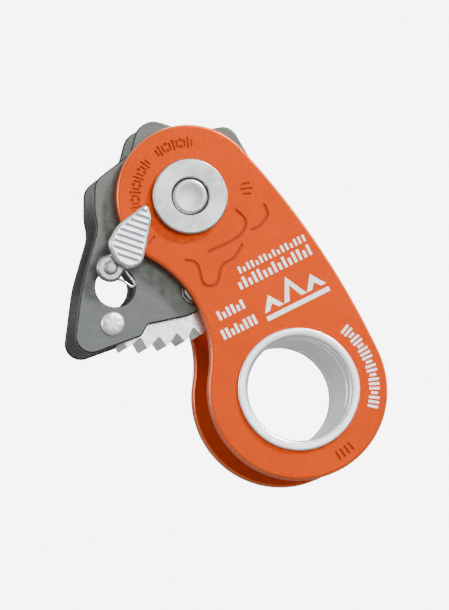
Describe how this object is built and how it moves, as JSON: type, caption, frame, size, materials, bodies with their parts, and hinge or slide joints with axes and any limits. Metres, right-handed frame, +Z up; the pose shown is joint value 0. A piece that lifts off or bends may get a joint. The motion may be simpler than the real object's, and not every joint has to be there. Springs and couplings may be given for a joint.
{
  "type": "belay device",
  "caption": "Rope-clamping pulley: swinging side plates, a sheave and a sprung toothed cam on one axle, a thumb catch and a wide carabiner eye.",
  "frame": {"origin": "centre of the carabiner eye, in the middle of the thickness", "axes": "-Y along the eye towards the front, where the thumb catch is; +Z up as the device hangs"},
  "size_m": [0.0552, 0.0275, 0.0635],
  "materials": {
    "side_plate": "orange anodised aluminium, satin",
    "eye": "turned aluminium, bright",
    "washer": "turned steel, satin",
    "bright_steel": "bright steel",
    "nylon": "white nylon",
    "sheave": "turned aluminium",
    "bronze": "sintered bronze",
    "cam_plate": "blasted and plated steel, grey",
    "toothed_steel": "cast and plated steel",
    "catch": "polished plated steel, ribbed"
  },
  "bodies": {
    "rear_frame": {"rear_side_plate": "side_plate", "rear_eye_ring": "eye", "eye_drum": "eye", "axle": "bright_steel", "front_axle_washer": "washer", "rear_axle_washer": "washer", "rear_friction_washer": "nylon", "cam_spring": "bright_steel"},
    "front_plate": {"front_side_plate": "side_plate", "front_eye_ring": "eye", "front_friction_washer": "nylon"},
    "sheave_wheel": {"sheave": "sheave", "sheave_bushing": "bronze"},
    "cam": {"front_cam_plate": "cam_plate", "rear_cam_plate": "cam_plate", "front_cam_collar": "bronze", "rear_cam_collar": "bronze", "toothed_cam": "toothed_steel", "lower_cam_rivet": "bright_steel", "upper_cam_rivet": "bright_steel", "catch_pin": "bright_steel", "catch_spring": "bright_steel"},
    "catch": {"catch_lever": "catch"}
  },
  "joints": [
    {"name": "front_plate_swing", "type": "hinge", "parent": "rear_frame", "child": "front_plate", "pos_m": [-0.0195, 0, 0.03377], "axis": [0, -1, 0], "range_deg": [0, 155]},
    {"name": "sheave_spin", "type": "hinge", "parent": "rear_frame", "child": "sheave_wheel", "pos_m": [-0.0195, 0, 0.03377], "axis": [0, -1, 0], "continuous": true},
    {"name": "cam_swing", "type": "hinge", "parent": "rear_frame", "child": "cam", "pos_m": [-0.0195, 0, 0.03377], "axis": [0, -1, 0], "range_deg": [-40, 28], "stiffness_Nm_per_rad": 0.02, "springref_deg": 63.03},
    {"name": "catch_turn", "type": "hinge", "parent": "cam", "child": "catch", "pos_m": [-0.0334, 0, 0.02107], "axis": [0, -1, 0], "range_deg": [0, 40], "stiffness_Nm_per_rad": 0.002, "springref_deg": -28.65}
  ]
}
